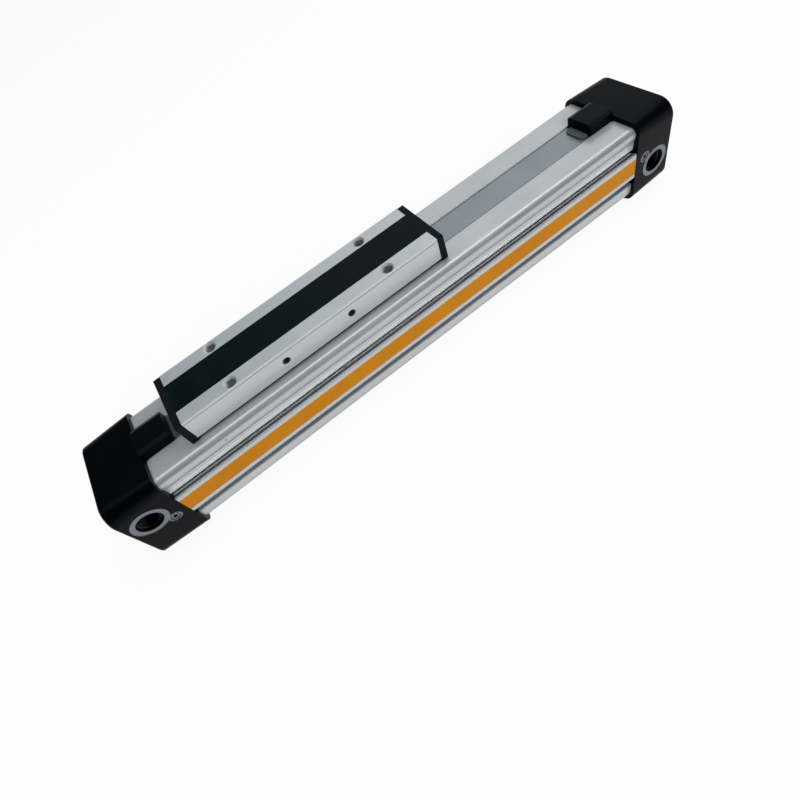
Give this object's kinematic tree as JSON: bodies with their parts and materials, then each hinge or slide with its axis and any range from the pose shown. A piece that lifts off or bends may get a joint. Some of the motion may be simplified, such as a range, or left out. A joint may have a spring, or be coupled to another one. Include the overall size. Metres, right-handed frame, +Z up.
{
  "type": "rodless pneumatic cylinder",
  "caption": "Rodless pneumatic cylinder: slotted dovetail barrel with steel sealing bands, ported end caps and a sliding carriage with threaded holes on top.",
  "frame": {"origin": "middle of the underside, on the plane of the end caps' bottom faces", "axes": "+X along the cylinder from the left cap to the right cap, +Y to the back, away from the ports, +Z up through the carriage"},
  "size_m": [0.35, 0.052, 0.0642],
  "materials": {
    "barrel_aluminium": "satin natural anodised extrusion",
    "carrier_aluminium": "satin anodised, milled",
    "yoke_aluminium": "milled",
    "tube_aluminium": "turned",
    "cap_black": "satin black, bare metal at spot faces and worn edges",
    "clamp_black": "satin black",
    "cover_black": "dark satin",
    "plate_black": "matt",
    "glide_plastic": "matt",
    "piston_plastic": "moulded",
    "wear_plastic": "moulded",
    "seal_rubber": "matt",
    "wiper_grey": "matt",
    "band_steel": "ground strip steel",
    "inner_band_steel": "ground strip steel",
    "magnet_strip": "matt",
    "magnet_metal": "plated",
    "accent_orange": "satin strip",
    "screw_steel": "zinc plated",
    "small_screw_steel": "zinc plated",
    "needle_steel": "turned"
  },
  "bodies": {
    "barrel": {"barrel_profile": "barrel_aluminium", "accent_strip": "accent_orange", "outer_band": "band_steel", "inner_band": "inner_band_steel", "magnet_strip_front": "magnet_strip", "magnet_strip_back": "magnet_strip", "end_cap_left": "cap_black", "end_cap_right": "cap_black", "cap_seal_left": "seal_rubber", "cap_seal_right": "seal_rubber", "cushion_tube_left": "tube_aluminium", "cushion_tube_right": "tube_aluminium", "band_clamp_left": "clamp_black", "band_clamp_right": "clamp_black", "cap_screw_left_1": "screw_steel", "cap_screw_left_2": "screw_steel", "cap_screw_left_3": "screw_steel", "cap_screw_left_4": "screw_steel", "cap_screw_right_1": "screw_steel", "cap_screw_right_2": "screw_steel", "cap_screw_right_3": "screw_steel", "cap_screw_right_4": "screw_steel"},
    "carriage": {"carrier": "carrier_aluminium", "cover_strip": "cover_black", "piston_yoke": "yoke_aluminium", "piston_magnet": "magnet_metal", "end_plate_left": "plate_black", "end_plate_right": "plate_black", "wiper_left": "wiper_grey", "wiper_right": "wiper_grey", "band_guide_left": "glide_plastic", "band_guide_right": "glide_plastic", "piston_left": "piston_plastic", "piston_right": "piston_plastic", "piston_seal_left": "seal_rubber", "piston_seal_right": "seal_rubber", "cushion_seal_left": "seal_rubber", "cushion_seal_right": "seal_rubber", "wear_ring_left": "wear_plastic", "wear_ring_right": "wear_plastic", "piston_screw_left": "small_screw_steel", "piston_screw_right": "small_screw_steel", "plate_screw_left_1": "small_screw_steel", "plate_screw_left_2": "small_screw_steel", "plate_screw_right_1": "small_screw_steel", "plate_screw_right_2": "small_screw_steel", "glide_strip_front": "glide_plastic", "glide_strip_back": "glide_plastic", "yoke_screw_1": "small_screw_steel", "yoke_screw_2": "small_screw_steel", "yoke_screw_3": "small_screw_steel", "yoke_screw_4": "small_screw_steel"},
    "needle_left": {"cushion_needle_left": "needle_steel"},
    "needle_right": {"cushion_needle_right": "needle_steel"}
  },
  "joints": [
    {"name": "carriage_slide", "type": "slide", "parent": "barrel", "child": "carriage", "axis": [1, 0, 0], "range_m": [0, 0.1], "deforming": ["outer_band", "inner_band"]},
    {"name": "needle_left_turn", "type": "hinge", "parent": "barrel", "child": "needle_left", "pos_m": [-0.1556, -0.02, 0.0238], "axis": [0, -1, 0], "range_deg": [0, 1080]},
    {"name": "needle_right_turn", "type": "hinge", "parent": "barrel", "child": "needle_right", "pos_m": [0.1556, -0.02, 0.0282], "axis": [0, -1, 0], "range_deg": [0, 1080]}
  ]
}
